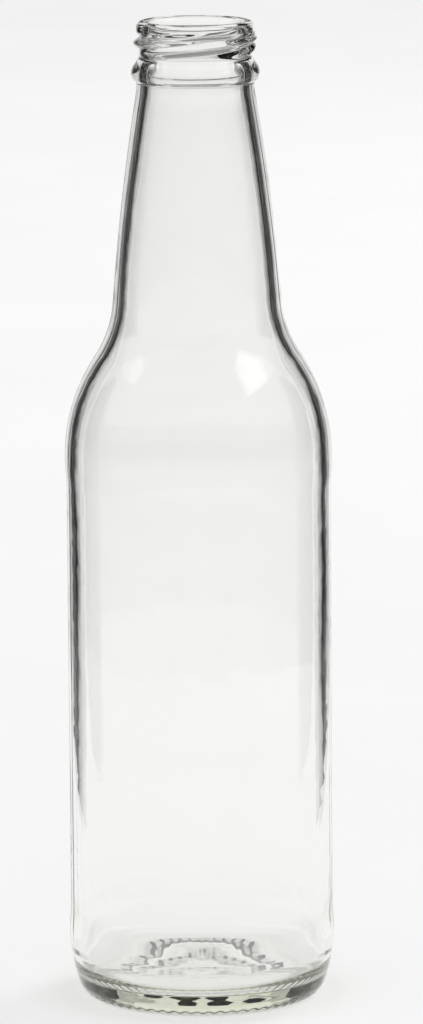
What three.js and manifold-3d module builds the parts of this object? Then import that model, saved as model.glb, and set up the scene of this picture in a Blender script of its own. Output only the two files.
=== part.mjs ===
// An empty clear glass drinks bottle with a round body, a tapered neck and a threaded crown finish.
// Millimetres, +Z up. The axis of the bottle is Z, and it stands on z = 0.
import * as THREE from 'three';
import { mergeVertices } from 'three/addons/utils/BufferGeometryUtils.js';
import Module from 'manifold-3d';

// Overall sizes
const HEIGHT = 210;
const WALL = 2.3;

// Body: two contact bands touch the neighbouring bottle, and the label panel between them lies back
const BAND_RADIUS = 28.5;
const PANEL_RADIUS = 28.2;
const LOWER_BAND_Z = 14.8;
const PANEL_BOTTOM_Z = 20;
const PANEL_TOP_Z = 112.5;
const UPPER_BAND_Z = 117.2;

// Shoulder: a convex arc runs up to the inflection, then a concave arc runs into the neck
const SHOULDER_ARC = 38.5;
const THROAT_ARC = 23.5;
const INFLECTION_TILT = THREE.MathUtils.degToRad(34);

// Neck: a slightly swelling taper between the throat and the short straight under the bead
const NECK_START_TILT = THREE.MathUtils.degToRad(4.4);
const NECK_TOP_RADIUS = 12.47;
const NECK_TOP_Z = 195.5;

// Finish: transfer bead, waist, thread root and lip
const BEAD_Z = 199;
const BEAD_RADIUS = 13.6;
const BEAD_DROP = 1.8;
const BEAD_RISE = 2.2;
const BEAD_FLANK_TURN = THREE.MathUtils.degToRad(35);
const WAIST_Z = 202.4;
const ROOT_RADIUS = 11.8;
const LIP_BOTTOM_Z = 207;
const LIP_STEP = 0.4;
const LIP_RADIUS = 12.5;
const LIP_OUTER_ROUND = 1.4;
const LIP_INNER_ROUND = 1;

// Thread: three right-handed ridges that rise out of the root and sink back into it
const THREAD_STARTS = 3;
const THREAD_LEAD = 6.5;
const THREAD_BOTTOM_Z = 202.9;
const THREAD_SWEEP = THREE.MathUtils.degToRad(240);
const THREAD_FIRST_ANGLE = THREE.MathUtils.degToRad(44.5);
const THREAD_CREST_RADIUS = 13.06;
const THREAD_ROUND = 0.8;
const THREAD_SINK = 1.275;
const THREAD_FADE = 0.3;

// Heel and base: a bearing ring with radial knurls round a low domed push-up
const HEEL_ARC = 40;
const HEEL_CORNER = 3.5;
const BEARING_INNER_RADIUS = 20.8;
const PUSH_UP = 0.8;
const KNURLS = 64;
const KNURL_HEIGHT = 0.35;
const KNURL_LENGTH = 3.3;
const KNURL_FOOT = 0.8;
const KNURL_ROOT = 1.6;
const KNURL_SUNK = 0.45;

// Inside of the base, which follows the push-up
const FLOOR_EDGE_Z = 4.4;
const FLOOR_CENTRE_Z = FLOOR_EDGE_Z + PUSH_UP;
const FLOOR_CORNER = 4.5;

// Fineness of the facets
const TURN_STEPS = 60;
const THREAD_STEPS = 22;
const THREAD_SIDES = 8;

// A hair under which two neighbouring points count as one
const SAME_POINT = 1e-4;

const QUARTER = Math.PI / 2;

const wasm = await Module();
wasm.setup();

// Points of an arc about (x, z), from one angle to another, measured from the outward direction upwards
function arc(x, z, radius, from, to, steps, radiusZ = radius) {
  return new THREE.EllipseCurve(x, z, radius, radiusZ, from, to, to < from).getPoints(steps);
}

// One outline from several stretches, without the points that two stretches share
function joinStretches(...stretches) {
  const outline = [];
  for (const point of stretches.flat()) {
    const last = outline.at(-1);
    if (!last || last.distanceTo(point) > SAME_POINT) outline.push(point);
  }
  return outline;
}

function at(radius, z) {
  return new THREE.Vector2(radius, z);
}

// The centres and radii of the wall's three arcs, for the face that lies `inset` inside the outer one
function wallArcs(inset) {
  const shoulder = { x: BAND_RADIUS - SHOULDER_ARC, z: UPPER_BAND_Z, radius: SHOULDER_ARC - inset };
  const reach = SHOULDER_ARC + THROAT_ARC;
  const throat = {
    x: shoulder.x + reach * Math.cos(INFLECTION_TILT),
    z: shoulder.z + reach * Math.sin(INFLECTION_TILT),
    radius: THROAT_ARC + inset,
  };
  const start = at(
    throat.x - THROAT_ARC * Math.cos(NECK_START_TILT),
    throat.z - THROAT_ARC * Math.sin(NECK_START_TILT),
  );
  const chord = at(start.x - NECK_TOP_RADIUS, NECK_TOP_Z - start.y);
  const bend = Math.atan2(chord.x, chord.y) - NECK_START_TILT;
  const swell = chord.length() / (2 * Math.sin(bend));
  const neck = {
    x: start.x - swell * Math.cos(NECK_START_TILT),
    z: start.y - swell * Math.sin(NECK_START_TILT),
    radius: swell - inset,
    endTilt: NECK_START_TILT + 2 * bend,
  };
  return { shoulder, throat, neck };
}

// Shoulder, throat and neck of one face of the wall, from the upper contact band up to the neck's top
function wallStretch(inset, shoulderSteps, throatSteps, neckSteps) {
  const { shoulder, throat, neck } = wallArcs(inset);
  const half = Math.PI;
  return joinStretches(
    arc(shoulder.x, shoulder.z, shoulder.radius, 0, INFLECTION_TILT, shoulderSteps),
    arc(throat.x, throat.z, throat.radius, half + INFLECTION_TILT, half + NECK_START_TILT, throatSteps),
    arc(neck.x, neck.z, neck.radius, NECK_START_TILT, neck.endTilt, neckSteps),
  );
}

// A shallow dome from the axis out to `radius`, as the arc through its top and its edge
function dome(topZ, edgeZ, radius, steps) {
  const rise = topZ - edgeZ;
  const sphere = (radius * radius + rise * rise) / (2 * rise);
  return arc(0, topZ - sphere, sphere, QUARTER, Math.acos(radius / sphere), steps);
}

// The heel's two arcs, from the bearing ring up to the lower contact band
function heelStretch() {
  const cornerZ = KNURL_HEIGHT + HEEL_CORNER;
  const dip = Math.asin((LOWER_BAND_Z - cornerZ) / (HEEL_ARC - HEEL_CORNER));
  const heelX = BAND_RADIUS - HEEL_ARC;
  const cornerX = heelX + (HEEL_ARC - HEEL_CORNER) * Math.cos(dip);
  return joinStretches(
    arc(cornerX, cornerZ, HEEL_CORNER, -QUARTER, -dip, 4),
    arc(heelX, LOWER_BAND_Z, HEEL_ARC, -dip, 0, 3),
  );
}

// Bead, waist, thread root and lip, from the neck's top up and over into the bore
function finishStretch() {
  const lipZ = HEIGHT - LIP_OUTER_ROUND;
  const lipX = LIP_RADIUS - LIP_OUTER_ROUND;
  const boreRadius = NECK_TOP_RADIUS - WALL;
  const innerX = boreRadius + LIP_INNER_ROUND;
  const innerZ = HEIGHT - LIP_INNER_ROUND;
  const beadBelow = BEAD_RADIUS - NECK_TOP_RADIUS;
  const beadAbove = BEAD_RADIUS - ROOT_RADIUS;
  return joinStretches(
    arc(NECK_TOP_RADIUS, BEAD_Z, beadBelow, -QUARTER, 0, 3, BEAD_DROP),
    arc(ROOT_RADIUS, BEAD_Z, beadAbove, 0, BEAD_FLANK_TURN, 2, BEAD_RISE),
    [at(ROOT_RADIUS, WAIST_Z), at(ROOT_RADIUS, LIP_BOTTOM_Z), at(LIP_RADIUS, LIP_BOTTOM_Z + LIP_STEP)],
    arc(lipX, lipZ, LIP_OUTER_ROUND, 0, QUARTER, 3),
    arc(innerX, innerZ, LIP_INNER_ROUND, QUARTER, Math.PI, 2),
  );
}

// The half section of the glass: up the outside, over the lip and down the inside, from axis to axis
function glassOutline() {
  const floorX = BAND_RADIUS - WALL - FLOOR_CORNER;
  const floorZ = FLOOR_EDGE_Z + FLOOR_CORNER;
  return joinStretches(
    dome(KNURL_HEIGHT + PUSH_UP, KNURL_HEIGHT, BEARING_INNER_RADIUS, 4),
    heelStretch(),
    [at(PANEL_RADIUS, PANEL_BOTTOM_Z), at(PANEL_RADIUS, PANEL_TOP_Z)],
    wallStretch(0, 7, 5, 4),
    finishStretch(),
    wallStretch(WALL, 5, 4, 3).reverse(),
    arc(floorX, floorZ, FLOOR_CORNER, 0, -QUARTER, 4),
    dome(FLOOR_CENTRE_Z, FLOOR_EDGE_Z, floorX, 4).reverse(),
  );
}

// A helix that sinks towards the axis at both ends
class ThreadLine extends THREE.Curve {
  constructor(firstAngle) {
    super();
    this.firstAngle = firstAngle;
  }

  getPoint(t, target = new THREE.Vector3()) {
    const turned = THREAD_SWEEP * t;
    const ends = Math.min(t, 1 - t);
    const sunk = THREAD_SINK * (1 - THREE.MathUtils.smoothstep(ends, 0, THREAD_FADE));
    const radius = THREAD_CREST_RADIUS - THREAD_ROUND - sunk;
    const angle = this.firstAngle + turned;
    const z = THREAD_BOTTOM_Z + (THREAD_LEAD * turned) / (2 * Math.PI);
    return target.set(radius * Math.cos(angle), radius * Math.sin(angle), z);
  }
}

// One ridge of the thread, a round bar along its helix
function threadRidge(index) {
  const section = new THREE.Shape(
    arc(0, 0, THREAD_ROUND, 0, 2 * Math.PI, THREAD_SIDES).slice(0, THREAD_SIDES),
  );
  const firstAngle = THREAD_FIRST_ANGLE + (index * 2 * Math.PI) / THREAD_STARTS;
  return new THREE.ExtrudeGeometry(section, {
    steps: THREAD_STEPS,
    extrudePath: new ThreadLine(firstAngle),
    bevelEnabled: false,
  });
}

// One radial knurl on the bearing ring: a bar with sloping flanks that stands on z = 0
function knurl(index) {
  const top = KNURL_HEIGHT + KNURL_SUNK;
  const section = new THREE.Shape([
    at(-KNURL_FOOT / 2, 0),
    at(KNURL_FOOT / 2, 0),
    at(KNURL_ROOT / 2, top),
    at(-KNURL_ROOT / 2, top),
  ]);
  const bar = new THREE.ExtrudeGeometry(section, { depth: KNURL_LENGTH, bevelEnabled: false });
  bar.translate(0, 0, BEARING_INNER_RADIUS);
  bar.rotateX(QUARTER);
  bar.rotateZ((index * 2 * Math.PI) / KNURLS);
  return bar;
}

// A closed solid from a geometry, with its shared corners merged and its empty triangles dropped
function solidOf(geometry) {
  const bare = new THREE.BufferGeometry();
  bare.setAttribute('position', geometry.getAttribute('position'));
  bare.setIndex(geometry.getIndex());
  const merged = mergeVertices(bare, SAME_POINT);
  const corners = merged.getIndex().array;
  const triVerts = [];
  for (let i = 0; i < corners.length; i += 3) {
    const [a, b, c] = corners.subarray(i, i + 3);
    if (a !== b && b !== c && c !== a) triVerts.push(a, b, c);
  }
  return new wasm.Manifold(
    new wasm.Mesh({
      numProp: 3,
      vertProperties: new Float32Array(merged.getAttribute('position').array),
      triVerts: new Uint32Array(triVerts),
    }),
  );
}

// A flat-shaded geometry from a solid
function geometryOf(solid) {
  const mesh = solid.getMesh();
  const geometry = new THREE.BufferGeometry();
  geometry.setAttribute('position', new THREE.BufferAttribute(mesh.vertProperties, mesh.numProp));
  geometry.setIndex(new THREE.BufferAttribute(mesh.triVerts, 1));
  geometry.computeVertexNormals();
  return geometry;
}

// The whole bottle: the turned glass with its thread and its knurls grown onto it
function bottleGeometry() {
  const turned = new THREE.LatheGeometry(glassOutline(), TURN_STEPS);
  turned.rotateX(QUARTER);
  let glass = solidOf(turned);
  for (let i = 0; i < THREAD_STARTS; i += 1) glass = glass.add(solidOf(threadRidge(i)));
  for (let i = 0; i < KNURLS; i += 1) glass = glass.add(solidOf(knurl(i)));
  return geometryOf(glass);
}

const clearGlass = new THREE.MeshStandardMaterial({
  color: 0xe9eeea,
  roughness: 0.04,
  metalness: 0,
  transparent: true,
  opacity: 0.35,
});

const bottle = new THREE.Mesh(bottleGeometry(), clearGlass);
bottle.name = 'bottle';

const group = new THREE.Group();
group.add(bottle);

export default group;
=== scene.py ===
"""Dresses an empty clear glass drinks bottle and stands it on a pale studio floor.

The bottle is one closed skin of glass, worked out as a grid. One way runs along its half section, from the
middle of the base up the outside, over the lip and down the inside to the middle of the floor. The other way
runs round.
"""
import logging
import math
from dataclasses import dataclass, field
from enum import Enum

import bpy
import numpy as np
from mathutils import Matrix, Vector
from numpy.typing import NDArray


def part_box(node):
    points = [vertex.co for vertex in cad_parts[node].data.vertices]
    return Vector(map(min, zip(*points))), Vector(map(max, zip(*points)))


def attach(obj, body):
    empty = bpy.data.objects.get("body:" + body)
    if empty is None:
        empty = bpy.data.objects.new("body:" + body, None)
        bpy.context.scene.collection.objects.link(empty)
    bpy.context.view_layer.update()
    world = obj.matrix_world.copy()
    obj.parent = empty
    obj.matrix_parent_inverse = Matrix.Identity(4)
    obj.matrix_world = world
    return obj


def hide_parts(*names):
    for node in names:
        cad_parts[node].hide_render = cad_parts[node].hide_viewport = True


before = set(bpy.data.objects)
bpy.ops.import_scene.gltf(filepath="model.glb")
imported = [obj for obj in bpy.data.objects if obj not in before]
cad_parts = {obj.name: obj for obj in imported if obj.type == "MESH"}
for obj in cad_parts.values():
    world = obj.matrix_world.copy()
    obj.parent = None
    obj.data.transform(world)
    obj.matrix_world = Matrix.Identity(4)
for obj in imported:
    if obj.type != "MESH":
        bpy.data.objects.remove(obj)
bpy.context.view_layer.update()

Array = NDArray[np.float64]

MM = 0.001
NODE = "bottle"
BODY = "root"
IMAGE_WIDTH = 423
IMAGE_HEIGHT = 1024
FULL_TURN = 2 * math.pi
QUARTER_TURN = math.pi / 2
FRONT = -QUARTER_TURN

log = logging.getLogger("glass_bottle")


class Face(Enum):
    """Which face of the glass a stretch of the half section lies on."""

    OUTSIDE = 0
    INSIDE = 1


class Side(Enum):
    """Which side of the bottle a card or a light stands on, seen from the camera."""

    LEFT = -1
    RIGHT = 1


def ease(value: Array, low: float, high: float) -> Array:
    """Rise smoothly from 0 at low to 1 at high, as 3t^2 - 2t^3.

    Args:
        value: Where to read the rise.
        low: The value at which it starts.
        high: The value at which it ends.

    Returns:
        The rise, between 0 and 1, in the shape of value.
    """
    t = np.clip((value - low) / (high - low), 0.0, 1.0)
    return t * t * (3.0 - 2.0 * t)


def arc(x: float, z: float, radius: float, start: float, end: float, rise: float | None = None) -> Array:
    """Trace an arc: x + radius cos t and z + rise sin t, with t from start to end.

    Args:
        x: Distance of the centre from the axis.
        z: Height of the centre.
        radius: Reach along the radius.
        start: First angle, from the outward direction upwards.
        end: Last angle.
        rise: Reach along the height, where the arc is part of an ellipse.

    Returns:
        Points as rows of radius and height.
    """
    t = np.linspace(start, end, 64)
    return np.column_stack((x + radius * np.cos(t), z + (rise or radius) * np.sin(t)))


def straight(*corners: tuple[float, float]) -> Array:
    """Give the corners of a broken line as rows of radius and height."""
    return np.array(corners, dtype=float)


def blend(start: tuple[float, float], end: tuple[float, float]) -> Array:
    """Trace an S from start to end: the height goes evenly, and the radius follows the smooth rise.

    Args:
        start: Radius and height of the first point.
        end: Radius and height of the last point.

    Returns:
        Points as rows of radius and height.
    """
    t = np.linspace(0.0, 1.0, 32)
    radius = start[0] + (end[0] - start[0]) * ease(t, 0.0, 1.0)
    return np.column_stack((radius, start[1] + (end[1] - start[1]) * t))


def dome(top: float, edge: float, radius: float) -> Array:
    """Trace a shallow dome from the axis out to its edge, as the arc through its top and its edge.

    Args:
        top: Height on the axis.
        edge: Height at the edge.
        radius: Radius of the edge.

    Returns:
        Points as rows of radius and height.
    """
    sag = top - edge
    sphere = (radius**2 + sag**2) / (2 * sag)
    return arc(0.0, top - sphere, sphere, QUARTER_TURN, math.acos(radius / sphere))


@dataclass(frozen=True)
class Stretch:
    """One stretch of the half section.

    Args:
        points: Rows of radius and height, in the order in which the section runs.
        rows: How many rows of the grid lie on it.
        face: The face of the glass that it belongs to.
    """

    points: Array
    rows: int
    face: Face = Face.OUTSIDE


@dataclass(frozen=True)
class SectionLine:
    """The sampled half section, one value for each row of the grid.

    Args:
        radius: Distance from the axis.
        height: Height above the floor.
        out_radius: Radial part of the direction that points out of the glass.
        out_height: Upward part of that direction.
        inside: True on the rows of the inner face.
    """

    radius: Array
    height: Array
    out_radius: Array
    out_height: Array
    inside: NDArray[np.bool_]


@dataclass(frozen=True)
class GlassSection:
    """The half section of the glass, from the middle of the base to the middle of the floor inside."""

    height: float
    band_radius: float
    wall: float = 2.3 * MM
    panel_radius: float = 28.2 * MM
    lower_band: float = 14.8 * MM
    panel_bottom: float = 20 * MM
    panel_top: float = 110.5 * MM
    panel_lip: float = 116.4 * MM
    upper_band: float = 117.2 * MM
    shoulder_arc: float = 38.5 * MM
    throat_arc: float = 23.5 * MM
    inflection: float = math.radians(34)
    neck_tilt: float = math.radians(4.4)
    neck_top_radius: float = 12.47 * MM
    neck_top: float = 195.5 * MM
    bead: float = 199 * MM
    bead_radius: float = 13.6 * MM
    bead_drop: float = 1.8 * MM
    bead_rise: float = 2.2 * MM
    bead_flank_turn: float = math.radians(35)
    waist: float = 202.4 * MM
    root_radius: float = 11.8 * MM
    lip_bottom: float = 207 * MM
    lip_step: float = 0.4 * MM
    lip_radius: float = 12.5 * MM
    lip_outer_round: float = 1.4 * MM
    lip_inner_round: float = 1.0 * MM
    heel_arc: float = 40 * MM
    heel_corner: float = 3.5 * MM
    ring_height: float = 0.35 * MM
    ring_inner: float = 20.8 * MM
    push_up: float = 0.8 * MM
    floor_edge: float = 4.4 * MM
    floor_centre: float = 5.2 * MM
    floor_corner: float = 4.5 * MM
    fine_step: float = 0.04 * MM
    softness: float = 0.28 * MM

    def heel(self) -> list[Stretch]:
        """Give the push-up, the bearing ring, the heel's corner and its arc up to the lower contact band."""
        corner_z = self.ring_height + self.heel_corner
        reach = self.heel_arc - self.heel_corner
        dip = math.asin((self.lower_band - corner_z) / reach)
        heel_x = self.band_radius - self.heel_arc
        corner_x = heel_x + reach * math.cos(dip)
        ring = straight((self.ring_inner, self.ring_height), (corner_x, self.ring_height))
        return [
            Stretch(dome(self.ring_height + self.push_up, self.ring_height, self.ring_inner), 16),
            Stretch(ring, 8),
            Stretch(arc(corner_x, corner_z, self.heel_corner, -QUARTER_TURN, -dip), 16),
            Stretch(arc(heel_x, self.lower_band, self.heel_arc, -dip, 0.0), 20),
        ]

    def label_panel(self) -> list[Stretch]:
        """Give the panel that lies back between the two contact bands."""
        return [
            Stretch(blend((self.band_radius, self.lower_band), (self.panel_radius, self.panel_bottom)), 6),
            Stretch(straight((self.panel_radius, self.panel_bottom), (self.panel_radius, self.panel_top)), 6),
            Stretch(blend((self.panel_radius, self.panel_top), (self.band_radius, self.panel_lip)), 8),
        ]

    def wall_arcs(self, inset: float) -> tuple[Array, Array, Array]:
        """Trace shoulder, throat and neck of the face that lies inset behind the outer one.

        The three arcs meet with one tangent, so the inner face keeps their centres and changes their radii.

        Args:
            inset: How far the face lies inside the outer one.

        Returns:
            The points of the shoulder, the throat and the neck, each from its lower end up.
        """
        shoulder_x = self.band_radius - self.shoulder_arc
        reach = self.shoulder_arc + self.throat_arc
        throat_x = shoulder_x + reach * math.cos(self.inflection)
        throat_z = self.upper_band + reach * math.sin(self.inflection)
        start_x = throat_x - self.throat_arc * math.cos(self.neck_tilt)
        start_z = throat_z - self.throat_arc * math.sin(self.neck_tilt)
        across, along = start_x - self.neck_top_radius, self.neck_top - start_z
        bend = math.atan2(across, along) - self.neck_tilt
        swell = math.hypot(across, along) / (2 * math.sin(bend))
        neck_x = start_x - swell * math.cos(self.neck_tilt)
        neck_z = start_z - swell * math.sin(self.neck_tilt)
        turn = math.pi
        return (
            arc(shoulder_x, self.upper_band, self.shoulder_arc - inset, 0.0, self.inflection),
            arc(throat_x, throat_z, self.throat_arc + inset, turn + self.inflection, turn + self.neck_tilt),
            arc(neck_x, neck_z, swell - inset, self.neck_tilt, self.neck_tilt + 2 * bend),
        )

    def finish(self) -> list[Stretch]:
        """Give bead, waist, thread root and lip, up and over into the bore."""
        bore = self.neck_top_radius - self.wall
        below, above = self.bead_radius - self.neck_top_radius, self.bead_radius - self.root_radius
        bead_top = arc(self.root_radius, self.bead, above, 0.0, self.bead_flank_turn, self.bead_rise)
        waist = (self.root_radius, self.waist)
        lip_foot = (self.root_radius, self.lip_bottom)
        lip_wall = (self.lip_radius, self.lip_bottom + self.lip_step)
        outer = (self.lip_radius - self.lip_outer_round, self.height - self.lip_outer_round)
        inner = (bore + self.lip_inner_round, self.height - self.lip_inner_round)
        neck_straight = straight(
            (self.neck_top_radius, self.neck_top), (self.neck_top_radius, self.bead - self.bead_drop)
        )
        return [
            Stretch(neck_straight, 5),
            Stretch(arc(self.neck_top_radius, self.bead, below, -QUARTER_TURN, 0.0, self.bead_drop), 10),
            Stretch(bead_top, 6),
            Stretch(straight(tuple(bead_top[-1]), waist), 8),
            Stretch(straight(waist, lip_foot), 34),
            Stretch(straight(lip_foot, lip_wall, (self.lip_radius, outer[1])), 9),
            Stretch(arc(*outer, self.lip_outer_round, 0.0, QUARTER_TURN), 9),
            Stretch(arc(*inner, self.lip_inner_round, QUARTER_TURN, math.pi), 8, Face.INSIDE),
        ]

    def stretches(self) -> list[Stretch]:
        """Join all stretches in order, up the outside and down the inside."""
        shoulder, throat, neck = self.wall_arcs(0.0)
        shoulder_in, throat_in, neck_in = (points[::-1] for points in self.wall_arcs(self.wall))
        bore = self.neck_top_radius - self.wall
        floor_x = self.band_radius - self.wall - self.floor_corner
        floor_z = self.floor_edge + self.floor_corner
        body_in = straight(tuple(shoulder_in[-1]), (floor_x + self.floor_corner, floor_z))
        corner_in = arc(floor_x, floor_z, self.floor_corner, 0.0, -QUARTER_TURN)
        return [
            *self.heel(),
            *self.label_panel(),
            Stretch(shoulder, 18),
            Stretch(throat, 12),
            Stretch(neck, 10),
            *self.finish(),
            Stretch(straight((bore, self.height - self.lip_inner_round), tuple(neck_in[0])), 10, Face.INSIDE),
            Stretch(neck_in, 16, Face.INSIDE),
            Stretch(throat_in, 10, Face.INSIDE),
            Stretch(shoulder_in, 12, Face.INSIDE),
            Stretch(body_in, 30, Face.INSIDE),
            Stretch(corner_in, 10, Face.INSIDE),
            Stretch(dome(self.floor_centre, self.floor_edge, floor_x)[::-1], 9, Face.INSIDE),
        ]

    def soften(self, points: Array) -> tuple[Array, Array]:
        """Round every corner of the section, as molten glass does.

        The line is read again at an even fine step, and each point becomes the average of its neighbours
        under a bell curve as wide as the softness. Past its ends, on the axis, the line goes on as its mirror
        image.

        Args:
            points: Rows of radius and height.

        Returns:
            The distance along the raw line, and the rounded rows at those distances.
        """
        steps = np.hypot(*np.diff(points, axis=0).T)
        along = np.concatenate(([0.0], np.cumsum(steps)))
        fine = np.arange(0.0, along[-1], self.fine_step)
        radius = np.interp(fine, along, points[:, 0])
        height = np.interp(fine, along, points[:, 1])
        reach = round(4 * self.softness / self.fine_step)
        bell = np.exp(-0.5 * (np.arange(-reach, reach + 1) * self.fine_step / self.softness) ** 2)
        bell /= bell.sum()
        radius = np.pad(radius, reach, mode="reflect", reflect_type="odd")
        height = np.pad(height, reach, mode="reflect")
        rounded = (np.convolve(radius, bell, "valid"), np.convolve(height, bell, "valid"))
        return fine, np.column_stack(rounded)

    def sample(self) -> SectionLine:
        """Spread the rows of the grid evenly over each stretch of the rounded section.

        The direction out of the glass is the line's own direction turned by a quarter to its right.

        Returns:
            The sampled section, without the two points on the axis.
        """
        parts = self.stretches()
        lengths = [np.hypot(*np.diff(part.points, axis=0).T).sum() for part in parts]
        ends = np.cumsum(lengths)
        starts = ends - lengths
        places = [
            np.linspace(start, end, part.rows, endpoint=False)
            for part, start, end in zip(parts, starts, ends, strict=True)
        ]
        inside = [np.full(part.rows, part.face is Face.INSIDE) for part in parts]
        row_at = np.concatenate(places)[1:]
        along, line = self.soften(np.concatenate([part.points for part in parts]))
        slope = np.gradient(line, along, axis=0)
        slope /= np.hypot(*slope.T)[:, None]
        radius, height = (np.interp(row_at, along, column) for column in line.T)
        run, climb = (np.interp(row_at, along, column) for column in slope.T)
        return SectionLine(radius, height, climb, -run, np.concatenate(inside)[1:])


@dataclass(frozen=True)
class TwistThread:
    """Right-handed ridges round the finish, which a twist-off crown turns on."""

    starts: int = 3
    lead: float = 6.5 * MM
    bottom: float = 202.9 * MM
    sweep: float = math.radians(240)
    first_angle: float = math.radians(44.5)
    ridge_height: float = 1.26 * MM
    half_width: float = 1.35 * MM
    start_fade: float = math.radians(110)
    end_fade: float = math.radians(50)
    roundness: float = 1.4

    def relief(self, angle: Array, height: Array) -> Array:
        """Work out how far the thread stands out of the root.

        A ridge's line climbs by the lead in each turn. Across the line the ridge is (1 - u^2)^roundness, where
        u is the distance in half widths, and along the line it rises and sinks smoothly at both ends.

        Args:
            angle: Angle round the axis.
            height: Height above the floor.

        Returns:
            The highest ridge at each place, in metres.
        """
        first = self.first_angle + FULL_TURN / self.starts * np.arange(self.starts)
        turned = np.mod(angle[..., None] - first, FULL_TURN)
        line = self.bottom + self.lead * turned / FULL_TURN
        across = np.clip(np.abs(height[..., None] - line) / self.half_width, 0.0, 1.0)
        ends = ease(turned, 0.0, self.start_fade) * ease(self.sweep - turned, 0.0, self.end_fade)
        ridges = (1.0 - across**2) ** self.roundness * ends
        return self.ridge_height * ridges.max(axis=-1)


@dataclass(frozen=True)
class Knurling:
    """Radial ridges round the bearing ring, on whose feet the bottle stands."""

    count: int = 64
    ridge_height: float = 0.35 * MM
    inner: float = 20.5 * MM
    outer: float = 26.6 * MM
    inner_fade: float = 0.6 * MM
    outer_fade: float = 2.2 * MM
    fullness: float = 0.8

    def relief(self, angle: Array, radius: Array) -> Array:
        """Work out how far the knurls stand out of the ring.

        Round the ring they are (1/2 + 1/2 cos(count angle))^fullness, and they fade out at both edges.

        Args:
            angle: Angle round the axis.
            radius: Distance from the axis.

        Returns:
            The ridges' height at each place, in metres.
        """
        wave = (0.5 + 0.5 * np.cos(self.count * angle)) ** self.fullness
        rises = ease(radius, self.inner, self.inner + self.inner_fade)
        sinks = 1.0 - ease(radius, self.outer - self.outer_fade, self.outer)
        return self.ridge_height * wave * rises * sinks


@dataclass(frozen=True)
class MouldMarks:
    """What the mould leaves on the outside: counting dots under the base and a faint seam on each flank."""

    dot_ring: float = 18.3 * MM
    dot_angles: tuple[float, ...] = (math.radians(-21), math.radians(21), math.radians(29))
    dot_radius: float = 0.85 * MM
    dot_height: float = 0.32 * MM
    seam_angles: tuple[float, ...] = (math.radians(4), math.radians(184))
    seam_half_width: float = 0.6 * MM
    seam_height: float = 0.05 * MM
    seam_bottom: float = 2 * MM
    seam_top: float = 206 * MM

    def dots(self, angle: Array, radius: Array) -> Array:
        """Work out the round dots: (1 - d^2)^2, where d is the distance from the dot's middle in dot radii.

        Args:
            angle: Angle round the axis.
            radius: Distance from the axis.

        Returns:
            The dots' height at each place, in metres.
        """
        places = FRONT + np.array(self.dot_angles)
        across = radius[..., None] * np.cos(angle[..., None]) - self.dot_ring * np.cos(places)
        along = radius[..., None] * np.sin(angle[..., None]) - self.dot_ring * np.sin(places)
        near = np.clip((across**2 + along**2) / self.dot_radius**2, 0.0, 1.0)
        return self.dot_height * ((1.0 - near) ** 2).max(axis=-1)

    def seams(self, angle: Array, radius: Array, height: Array) -> Array:
        """Work out the seams: (1 - u^2)^2, where u is the distance round from the seam in half widths.

        Args:
            angle: Angle round the axis.
            radius: Distance from the axis.
            height: Height above the floor.

        Returns:
            The seams' height at each place, in metres.
        """
        turned = angle[..., None] - np.array(self.seam_angles)
        around = radius[..., None] * np.abs(np.mod(turned + math.pi, FULL_TURN) - math.pi)
        near = np.clip(around / self.seam_half_width, 0.0, 1.0)
        reach = ease(height, self.seam_bottom, 2 * self.seam_bottom) * (height < self.seam_top)
        return self.seam_height * ((1.0 - near**2) ** 2).max(axis=-1) * reach


@dataclass(frozen=True)
class BlownRipple:
    """The slow unevenness of a blown wall, as a sum of seeded waves round and along the bottle."""

    seed: int
    swell: float
    waves: int
    most_lobes: int
    short_pitch: float
    long_pitch: float
    fade_bottom: tuple[float, float]
    fade_top: tuple[float, float]

    def relief(self, angle: Array, height: Array) -> Array:
        """Work out the ripple: the sum of share sin(lobes angle + climb height + phase), times the swell.

        Args:
            angle: Angle round the axis.
            height: Height above the floor.

        Returns:
            How far the face swells at each place, in metres.
        """
        draw = np.random.default_rng(self.seed)
        lobes = draw.integers(-self.most_lobes, self.most_lobes + 1, self.waves)
        climb = FULL_TURN / draw.uniform(self.short_pitch, self.long_pitch, self.waves)
        phase = draw.uniform(0.0, FULL_TURN, self.waves)
        share = draw.uniform(0.4, 1.0, self.waves) / math.sqrt(self.waves)
        turns = lobes * angle[..., None] + climb * height[..., None] + phase
        reach = ease(height, *self.fade_bottom) * (1.0 - ease(height, *self.fade_top))
        return self.swell * (np.sin(turns) @ share) * reach


def fine_mottle() -> bpy.types.NodeTree:
    """Build, once, the node group for a fine uneven mask that the finishes share.

    Returns:
        The group: it takes a place, a scale and a detail, and puts out a mask between 0 and 1.
    """
    name = "Fine Mottle"
    if name in bpy.data.node_groups:
        return bpy.data.node_groups[name]
    group = bpy.data.node_groups.new(name, "ShaderNodeTree")
    group.interface.new_socket("Place", in_out="INPUT", socket_type="NodeSocketVector")
    group.interface.new_socket("Scale", in_out="INPUT", socket_type="NodeSocketFloat")
    group.interface.new_socket("Detail", in_out="INPUT", socket_type="NodeSocketFloat")
    group.interface.new_socket("Mottle", in_out="OUTPUT", socket_type="NodeSocketFloat")
    entry = group.nodes.new("NodeGroupInput")
    noise = group.nodes.new("ShaderNodeTexNoise")
    spread = group.nodes.new("ShaderNodeMapRange")
    leave = group.nodes.new("NodeGroupOutput")
    spread.interpolation_type = "SMOOTHSTEP"
    spread.inputs["From Min"].default_value = 0.3
    spread.inputs["From Max"].default_value = 0.7
    group.links.new(entry.outputs["Place"], noise.inputs["Vector"])
    group.links.new(entry.outputs["Scale"], noise.inputs["Scale"])
    group.links.new(entry.outputs["Detail"], noise.inputs["Detail"])
    group.links.new(noise.outputs["Fac"], spread.inputs["Value"])
    group.links.new(spread.outputs["Result"], leave.inputs["Mottle"])
    return group


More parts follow.
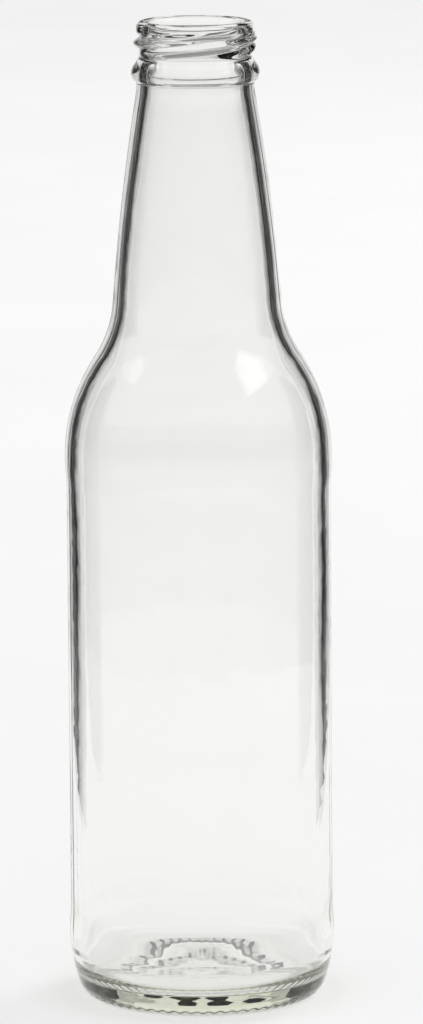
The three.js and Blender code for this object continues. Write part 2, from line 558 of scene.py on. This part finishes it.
def place_mottle(tree: bpy.types.NodeTree, scale: float, detail: float) -> bpy.types.NodeSocket:
    """Put the shared mottle into a material, on the object's own coordinates.

    Args:
        tree: The material's nodes.
        scale: How many spots there are to a metre.
        detail: How many finer layers there are.

    Returns:
        The socket that gives the mask.
    """
    place = tree.nodes.new("ShaderNodeTexCoord")
    mottle = tree.nodes.new("ShaderNodeGroup")
    mottle.node_tree = fine_mottle()
    mottle.inputs["Scale"].default_value = scale
    mottle.inputs["Detail"].default_value = detail
    tree.links.new(place.outputs["Object"], mottle.inputs["Place"])
    return mottle.outputs["Mottle"]


def map_mask(
    tree: bpy.types.NodeTree, mask: bpy.types.NodeSocket, low: float, high: float
) -> bpy.types.NodeSocket:
    """Stretch a mask from 0 and 1 to low and high.

    Args:
        tree: The material's nodes.
        mask: The socket that gives the mask.
        low: The value at 0.
        high: The value at 1.

    Returns:
        The socket that gives the stretched value.
    """
    stretch = tree.nodes.new("ShaderNodeMapRange")
    stretch.inputs["To Min"].default_value = low
    stretch.inputs["To Max"].default_value = high
    tree.links.new(mask, stretch.inputs["Value"])
    return stretch.outputs["Result"]


@dataclass(frozen=True)
class ClearGlassFinish:
    """Clear flint glass: polished by fire, faintly orange-peeled, and grey-green where it is thick."""

    name: str = "clear_flint_glass"
    refraction: float = 1.52
    tint: tuple[float, float, float, float] = (0.55, 0.62, 0.2, 1.0)
    tint_density: float = 9.0
    polish: tuple[float, float] = (0.0, 0.02)
    smudge_scale: float = 55.0
    smudge_detail: float = 3.0
    peel_scale: float = 210.0
    peel_detail: float = 1.0
    peel_depth: float = 0.008 * MM

    def material(self) -> bpy.types.Material:
        """Build the material.

        Returns:
            Glass that bends light at its faces and tints it by its depth.
        """
        made = bpy.data.materials.new(self.name)
        made.use_nodes = True
        tree = made.node_tree
        shader = tree.nodes["Principled BSDF"]
        shader.inputs["Base Color"].default_value = (1.0, 1.0, 1.0, 1.0)
        shader.inputs["Metallic"].default_value = 0.0
        shader.inputs["IOR"].default_value = self.refraction
        shader.inputs["Transmission Weight"].default_value = 1.0
        smudge = place_mottle(tree, self.smudge_scale, self.smudge_detail)
        tree.links.new(map_mask(tree, smudge, *self.polish), shader.inputs["Roughness"])
        bump = tree.nodes.new("ShaderNodeBump")
        bump.inputs["Distance"].default_value = self.peel_depth
        tree.links.new(place_mottle(tree, self.peel_scale, self.peel_detail), bump.inputs["Height"])
        tree.links.new(bump.outputs["Normal"], shader.inputs["Normal"])
        depth = tree.nodes.new("ShaderNodeVolumeAbsorption")
        depth.inputs["Color"].default_value = self.tint
        depth.inputs["Density"].default_value = self.tint_density
        tree.links.new(depth.outputs["Volume"], tree.nodes["Material Output"].inputs["Volume"])
        return made


@dataclass(frozen=True)
class PaleFloorFinish:
    """A matt white table top with the slightest mottle."""

    name: str = "pale_table_top"
    light: float = 0.94
    dark: float = 0.925
    gloss: tuple[float, float] = (0.5, 0.6)
    scale: float = 9.0
    detail: float = 4.0

    def material(self) -> bpy.types.Material:
        """Build the material.

        Returns:
            A pale matt surface.
        """
        made = bpy.data.materials.new(self.name)
        made.use_nodes = True
        tree = made.node_tree
        shader = tree.nodes["Principled BSDF"]
        shader.inputs["Specular IOR Level"].default_value = 0.0
        mottle = place_mottle(tree, self.scale, self.detail)
        grey = tree.nodes.new("ShaderNodeCombineColor")
        shade = map_mask(tree, mottle, self.dark, self.light)
        for channel in ("Red", "Green", "Blue"):
            tree.links.new(shade, grey.inputs[channel])
        tree.links.new(grey.outputs["Color"], shader.inputs["Base Color"])
        tree.links.new(map_mask(tree, mottle, *self.gloss), shader.inputs["Roughness"])
        return made


@dataclass(frozen=True)
class PaintedShadeCard:
    """Matt grey card seen only in the glass, painted shade for the unlit room round the backdrop, which
    changes from the grey of its foot to that of its head over its lowest part; a lighter foot is painted light
    next to the table.
    """

    name: str
    foot: float
    head: float
    rise: float = 0.12

    def material(self) -> bpy.types.Material:
        """Build the material: clear where the path has met the table before, and matt grey elsewhere.

        Returns:
            A matt grey surface, seen only in the glass as painted shade.
        """
        made = bpy.data.materials.new(self.name)
        made.use_nodes = True
        tree = made.node_tree
        shader = tree.nodes["Principled BSDF"]
        shader.inputs["Roughness"].default_value = 0.9
        shader.inputs["Specular IOR Level"].default_value = 0.0
        place = tree.nodes.new("ShaderNodeTexCoord")
        split = tree.nodes.new("ShaderNodeSeparateXYZ")
        # The grey follows the height from foot to head: painted light and shade, lighter next to the table
        # where the foot is lighter.
        shade = tree.nodes.new("ShaderNodeMapRange")
        shade.interpolation_type = "SMOOTHSTEP"
        shade.inputs["From Max"].default_value = self.rise
        shade.inputs["To Min"].default_value = self.foot
        shade.inputs["To Max"].default_value = self.head
        tree.links.new(place.outputs["Object"], split.inputs["Vector"])
        tree.links.new(split.outputs["Z"], shade.inputs["Value"])
        tree.links.new(shade.outputs["Result"], shader.inputs["Base Color"])
        path = tree.nodes.new("ShaderNodeLightPath")
        clear = tree.nodes.new("ShaderNodeBsdfTransparent")
        choose = tree.nodes.new("ShaderNodeMixShader")
        tree.links.new(path.outputs["Diffuse Depth"], choose.inputs["Fac"])
        tree.links.new(shader.outputs["BSDF"], choose.inputs[1])
        tree.links.new(clear.outputs["BSDF"], choose.inputs[2])
        tree.links.new(choose.outputs["Shader"], tree.nodes["Material Output"].inputs["Surface"])
        return made


def add_object(mesh: bpy.types.Mesh) -> bpy.types.Object:
    """Put a mesh into the scene at the origin, under its own name."""
    made = bpy.data.objects.new(mesh.name, mesh)
    bpy.context.scene.collection.objects.link(made)
    return made


def mesh_from_faces(name: str, points: Array, *faces: NDArray[np.int64]) -> bpy.types.Mesh:
    """Fill a mesh from whole arrays.

    Args:
        name: The mesh's name.
        points: One row of three coordinates for each vertex.
        faces: Arrays of vertex numbers, one row for each face, with any number of corners.

    Returns:
        The mesh, smooth shaded.
    """
    mesh = bpy.data.meshes.new(name)
    corners = np.concatenate([block.ravel() for block in faces])
    sizes = np.concatenate([np.full(len(block), block.shape[1]) for block in faces])
    mesh.vertices.add(len(points))
    mesh.loops.add(len(corners))
    mesh.polygons.add(len(sizes))
    mesh.vertices.foreach_set("co", points.astype(np.float32).ravel())
    mesh.loops.foreach_set("vertex_index", corners.astype(np.int32))
    mesh.polygons.foreach_set("loop_start", (np.cumsum(sizes) - sizes).astype(np.int32))
    mesh.update(calc_edges=True)
    mesh.validate()
    mesh.shade_smooth()
    return mesh


def grid_faces(rows: int, columns: int, around: bool) -> NDArray[np.int64]:
    """Number the four-cornered faces of a grid whose vertices run along its columns first.

    Args:
        rows: Rows of vertices.
        columns: Columns of vertices.
        around: True if the last column meets the first.

    Returns:
        One row of four vertex numbers for each face.
    """
    row, column = np.meshgrid(np.arange(rows - 1), np.arange(columns - (not around)), indexing="ij")
    after = (column + 1) % columns
    here, above = row * columns, (row + 1) * columns
    corners = (here + column, here + after, above + after, above + column)
    return np.stack([corner.ravel() for corner in corners], axis=1)


@dataclass
class Bottle:
    """The bottle: one closed skin of glass with its thread, knurls, mould marks and blown unevenness."""

    section: GlassSection
    thread: TwistThread = field(default_factory=TwistThread)
    knurling: Knurling = field(default_factory=Knurling)
    marks: MouldMarks = field(default_factory=MouldMarks)
    inner_ripple: BlownRipple = BlownRipple(
        seed=7,
        swell=0.03 * MM,
        waves=9,
        most_lobes=5,
        short_pitch=22 * MM,
        long_pitch=70 * MM,
        fade_bottom=(9 * MM, 30 * MM),
        fade_top=(196 * MM, 206 * MM),
    )
    outer_ripple: BlownRipple = BlownRipple(
        seed=11,
        swell=0.012 * MM,
        waves=6,
        most_lobes=3,
        short_pitch=45 * MM,
        long_pitch=90 * MM,
        fade_bottom=(10 * MM, 25 * MM),
        fade_top=(185 * MM, 195 * MM),
    )
    heel_ripple: BlownRipple = BlownRipple(
        seed=5,
        swell=0.02 * MM,
        waves=7,
        most_lobes=3,
        short_pitch=1.8 * MM,
        long_pitch=4.5 * MM,
        fade_bottom=(1 * MM, 3 * MM),
        fade_top=(10 * MM, 15 * MM),
    )
    finish: ClearGlassFinish = field(default_factory=ClearGlassFinish)
    columns: int = 320
    name: str = "glass_shell"

    def relief(self, line: SectionLine, angle: Array) -> Array:
        """Add up all that stands out of the turned section, along the direction out of the glass.

        Args:
            line: The sampled section.
            angle: Angle round the axis, one value for each column.

        Returns:
            The relief of each vertex in metres, rows by columns.
        """
        turn, radius = np.meshgrid(angle, line.radius)
        height = np.broadcast_to(line.height[:, None], turn.shape)
        outside = ~line.inside[:, None]
        under = outside & (line.out_height[:, None] < -0.7) & (height < self.section.waist / 2)
        low = outside & (height < self.section.lower_band)
        high = outside & (height > self.section.bead)
        return (
            np.where(high, self.thread.relief(turn, height), 0.0)
            + np.where(low, self.knurling.relief(turn, radius), 0.0)
            + np.where(under, self.marks.dots(turn, radius), 0.0)
            + np.where(outside, self.marks.seams(turn, radius, height), 0.0)
            + np.where(low, self.heel_ripple.relief(turn, height), 0.0)
            + np.where(outside, self.outer_ripple.relief(turn, height), 0.0)
            + np.where(outside, 0.0, self.inner_ripple.relief(turn, height))
        )

    def build(self) -> bpy.types.Object:
        """Turn the section round the axis with its relief, and close it on the axis at both ends.

        A vertex is the section's point moved by the relief along the direction out of the glass, then carried
        round: x = r cos a, y = r sin a and z = h.

        Returns:
            The shell as an object.
        """
        line = self.section.sample()
        angle = np.linspace(0.0, FULL_TURN, self.columns, endpoint=False)
        relief = self.relief(line, angle)
        radius = line.radius[:, None] + relief * line.out_radius[:, None]
        height = line.height[:, None] + relief * line.out_height[:, None]
        skin = np.stack((radius * np.cos(angle), radius * np.sin(angle), height), axis=-1).reshape(-1, 3)
        base = (0.0, 0.0, self.section.ring_height + self.section.push_up)
        floor = (0.0, 0.0, self.section.floor_centre)
        rows = len(line.radius)
        here = np.arange(self.columns)
        after = np.roll(here, -1)
        last = (rows - 1) * self.columns
        base_fan = np.column_stack((np.full_like(here, len(skin)), after, here))
        floor_fan = np.column_stack((last + here, last + after, np.full_like(here, len(skin) + 1)))
        walls = grid_faces(rows, self.columns, around=True)
        points = np.concatenate((skin, [base], [floor]))
        shell = add_object(mesh_from_faces(self.name, points, base_fan, walls, floor_fan))
        log.info("%s: %d rows, %d columns, %d faces", self.name, rows, self.columns, len(shell.data.polygons))
        return shell

    def dress(self, shell: bpy.types.Object) -> None:
        """Give the shell its glass, and let it stand for the solid that it follows.

        Args:
            shell: The object that build made.
        """
        shell.data.materials.append(self.finish.material())
        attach(shell, BODY)
        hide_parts(NODE)
        log.info("%s: dressed in %s", shell.name, self.finish.name)


@dataclass
class PhotoCamera:
    """The camera at the photo's place, with distance, height, tilt and lean worked out from the photo."""

    distance: float = 1400 * MM
    height: float = 346.46 * MM
    pitch: float = math.radians(-9.8)
    lean: float = math.radians(-0.43)
    focal_pixels: float = 6647.7
    axis_pixel: float = 198.7
    sensor: float = 36.0
    name: str = "photo_camera"

    def build(self) -> bpy.types.Object:
        """Aim the camera so that the bottle's axis falls on its column of pixels.

        Returns:
            The camera, set as the scene's own.
        """
        lens = bpy.data.cameras.new(self.name)
        lens.sensor_width = self.sensor
        lens.lens = self.sensor * self.focal_pixels / IMAGE_HEIGHT
        lens.clip_start, lens.clip_end = 0.05, 50.0
        swing = math.atan((IMAGE_WIDTH / 2 - self.axis_pixel) / self.focal_pixels)
        camera = bpy.data.objects.new(self.name, lens)
        turn = (
            Matrix.Rotation(-swing, 4, "Z")
            @ Matrix.Rotation(QUARTER_TURN + self.pitch, 4, "X")
            @ Matrix.Rotation(self.lean, 4, "Z")
        )
        camera.matrix_world = Matrix.Translation((0.0, -self.distance, self.height)) @ turn
        bpy.context.scene.collection.objects.link(camera)
        bpy.context.scene.camera = camera
        log.info("%s: lens %.1f mm", self.name, lens.lens)
        return camera


@dataclass(frozen=True)
class Softbox:
    """One soft rectangular light."""

    name: str
    place: tuple[float, float, float]
    size: tuple[float, float]
    brightness: float
    aim: tuple[float, float, float] = (0.0, 0.0, 0.13)
    in_glass: bool = True

    def build(self) -> bpy.types.Object:
        """Hang the light and aim it: its power is its brightness times pi times its area.

        Returns:
            The light.
        """
        lamp = bpy.data.lights.new(self.name, "AREA")
        lamp.shape = "RECTANGLE"
        lamp.size, lamp.size_y = self.size
        lamp.energy = self.brightness * math.pi * self.size[0] * self.size[1]
        light = bpy.data.objects.new(self.name, lamp)
        light.location = self.place
        light.rotation_euler = (Vector(self.aim) - Vector(self.place)).to_track_quat("-Z", "Y").to_euler()
        light.visible_camera = False
        light.visible_glossy = self.in_glass
        light.visible_transmission = self.in_glass
        bpy.context.scene.collection.objects.link(light)
        return light


@dataclass(frozen=True)
class UprightSheet:
    """One upright sheet of the surround, over a line of foot points and from its bottom to its top."""

    name: str
    foot: Array
    bottom: float
    top: float
    finish: PaintedShadeCard


@dataclass
class Studio:
    """A pale table, soft lights, a bright backdrop and the dark and grey sheets that draw the glass's edges as
    painted shade.

    The sheets are a dark card and a grey wing on each side, a grey wall and canopy in front and a small
    header behind the mouth.
    """

    floor_radius: float = 6.0
    card_gap: float = 0.16
    card_near: float = 0.09
    card_far: float = 0.266
    wing_far: float = 0.38
    card_top: float = 0.5
    wall_distance: float = 0.4
    wall_half_gap: float = math.radians(60)
    wall_top: float = 0.4
    header_distance: float = 0.06
    header_reach: float = 0.02
    header_bottom: float = 0.212
    header_top: float = 0.32
    canopy_span: tuple[float, float] = (math.radians(-55), math.radians(78))
    canopy_top: float = 0.9
    backdrop: float = 0.84
    ceiling: float = 0.4
    backdrop_top: float = math.radians(45)
    ceiling_bottom: float = math.radians(70)
    daylight: float = 0.9
    floor_finish: PaleFloorFinish = field(default_factory=PaleFloorFinish)
    # The sheets' greys are painted shade, seen only in the glass, for the unlit room round the backdrop; the
    # dark card and the wall are painted lighter at the foot, next to the table.
    card_shade: PaintedShadeCard = PaintedShadeCard("dark_card", foot=0.15, head=0.02, rise=0.05)
    header_shade: PaintedShadeCard = PaintedShadeCard("grey_header", foot=0.32, head=0.32)
    wing_shade: PaintedShadeCard = PaintedShadeCard("grey_wing", foot=0.5, head=0.5)
    wall_shade: PaintedShadeCard = PaintedShadeCard("grey_wall", foot=0.65, head=0.1, rise=0.15)
    lights: tuple[Softbox, ...] = (
        Softbox("key_softbox", (0.69, -0.2, 0.76), (0.5, 0.28), 0.35),
        Softbox("key_core", (0.68, -0.197, 0.75), (0.32, 0.17), 0.5),
        Softbox("fill_softbox", (-0.8, -0.25, 0.7), (0.4, 0.3), 0.15),
        Softbox("table_softbox", (1.2, 1.4, 1.2), (0.8, 0.8), 3.2, in_glass=False),
    )

    def build_floor(self) -> bpy.types.Object:
        """Lay the table as a round grid: radius r and angle a give x = r cos a and y = r sin a.

        Returns:
            The floor.
        """
        radius = self.floor_radius * np.linspace(0.0, 1.0, 13)[1:, None] ** 2
        angle = np.linspace(0.0, FULL_TURN, 96, endpoint=False)
        disc = np.stack((radius * np.cos(angle), radius * np.sin(angle), 0.0 * radius * angle), axis=-1)
        here = np.arange(len(angle))
        hub = np.column_stack((here, np.roll(here, -1), np.full_like(here, disc.size // 3)))
        rings = grid_faces(len(radius), len(angle), around=True)[:, ::-1]
        points = np.concatenate((disc.reshape(-1, 3), [(0.0, 0.0, 0.0)]))
        floor = add_object(mesh_from_faces("table_top", points, rings, hub))
        floor.data.materials.append(self.floor_finish.material())
        return floor

    def build_sheet(self, sheet: UprightSheet, turntable: bpy.types.Object) -> bpy.types.Object:
        """Stand a sheet on the turntable: the foot line's x and y, with z at the bottom and at the top.

        Only what shows in the glass sees it, so it neither shades the table nor stands in a view.

        Args:
            sheet: The sheet to build.
            turntable: What it stands on.

        Returns:
            The sheet.
        """
        levels = (sheet.bottom, sheet.top)
        edges = [np.column_stack((sheet.foot, np.full(len(sheet.foot), level))) for level in levels]
        faces = grid_faces(len(edges), len(sheet.foot), around=False)
        made = add_object(mesh_from_faces(sheet.name, np.concatenate(edges), faces))
        made.data.materials.append(sheet.finish.material())
        made.visible_camera = False
        made.visible_diffuse = False
        made.visible_shadow = False
        made.parent = turntable
        return made

    def build_cards(self, camera: bpy.types.Object) -> None:
        """Stand all sheets on one turntable that faces the camera, as they go round with it in a studio.

        Args:
            camera: The camera that the turntable faces.
        """
        turntable = bpy.data.objects.new("card_turntable", None)
        bpy.context.scene.collection.objects.link(turntable)
        facing = turntable.constraints.new("LOCKED_TRACK")
        facing.target = camera
        facing.track_axis = "TRACK_NEGATIVE_Y"
        facing.lock_axis = "LOCK_Z"
        angle = np.linspace(self.wall_half_gap, FULL_TURN - self.wall_half_gap, 64)
        ring = self.wall_distance * np.column_stack((np.sin(angle), np.cos(angle)))
        arch = math.pi + np.linspace(*self.canopy_span, 32)
        front = self.wall_distance * np.column_stack((np.sin(arch), np.cos(arch)))
        beam = straight((-self.header_reach, self.header_distance), (self.header_reach, self.header_distance))
        # Every sheet shows only in the glass: painted shade for the unlit room round the backdrop.
        sheets = [
            UprightSheet("grey_wall", ring, 0.0, self.wall_top, self.wall_shade),
            UprightSheet("grey_canopy", front, self.wall_top, self.canopy_top, self.wall_shade),
            UprightSheet("grey_header", beam, self.header_bottom, self.header_top, self.header_shade),
        ]
        for side in Side:
            x = side.value * self.card_gap
            near = straight((x, self.card_near), (x, self.card_far))
            far = straight((x, self.card_far), (x, self.wing_far))
            label = side.name.lower()
            sheets.append(UprightSheet(f"dark_card_{label}", near, 0.0, self.card_top, self.card_shade))
            sheets.append(UprightSheet(f"grey_wing_{label}", far, 0.0, self.card_top, self.wing_shade))
        for sheet in sheets:
            self.build_sheet(sheet, turntable)

    def build_world(self) -> None:
        """Light the room: a bright backdrop up to its top edge and a dim ceiling show in the glass.

        What the table scatters is lit evenly from the whole sky instead, as by a large diffusing tent.
        """
        world = bpy.data.worlds.new("studio_surround")
        world.use_nodes = True
        tree = world.node_tree
        shine = tree.nodes["Background"]
        place = tree.nodes.new("ShaderNodeTexCoord")
        split = tree.nodes.new("ShaderNodeSeparateXYZ")
        band = tree.nodes.new("ShaderNodeMapRange")
        band.interpolation_type = "SMOOTHSTEP"
        band.inputs["From Min"].default_value = math.sin(self.backdrop_top)
        band.inputs["From Max"].default_value = math.sin(self.ceiling_bottom)
        band.inputs["To Min"].default_value = self.backdrop
        band.inputs["To Max"].default_value = self.ceiling
        path = tree.nodes.new("ShaderNodeLightPath")
        scattered = tree.nodes.new("ShaderNodeMath")
        scattered.operation = "GREATER_THAN"
        scattered.inputs[1].default_value = 0.5
        choose = tree.nodes.new("ShaderNodeMix")
        choose.inputs["B"].default_value = self.daylight
        tree.links.new(place.outputs["Generated"], split.inputs["Vector"])
        tree.links.new(split.outputs["Z"], band.inputs["Value"])
        tree.links.new(path.outputs["Diffuse Depth"], scattered.inputs[0])
        tree.links.new(scattered.outputs["Value"], choose.inputs["Factor"])
        tree.links.new(band.outputs["Result"], choose.inputs["A"])
        tree.links.new(choose.outputs["Result"], shine.inputs["Strength"])
        shine.inputs["Color"].default_value = (1.0, 1.0, 1.0, 1.0)
        world.cycles.sampling_method = "NONE"
        bpy.context.scene.world = world

    def build(self, camera: bpy.types.Object) -> None:
        """Set up table, cards, lights and surround.

        Args:
            camera: The camera that the cards face.
        """
        self.build_floor()
        self.build_cards(camera)
        self.build_world()
        for light in self.lights:
            light.build()
        scene = bpy.context.scene
        scene.view_settings.view_transform = "Standard"
        scene.cycles.max_bounces = 24
        scene.cycles.transmission_bounces = 24
        scene.cycles.glossy_bounces = 12
        scene.cycles.blur_glossy = 0.0
        log.info("studio: table, sheets and %d lights", len(self.lights))


def main() -> None:
    """Build the bottle, the camera and the studio, and report each piece."""
    logging.basicConfig(level=logging.INFO, format="%(name)s: %(message)s")
    low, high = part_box(NODE)
    section = GlassSection(height=high.z - low.z, band_radius=(high.x - low.x) / 2)
    bottle = Bottle(section)
    bottle.dress(bottle.build())
    camera = PhotoCamera().build()
    Studio().build(camera)


if __name__ == "__main__":
    main()
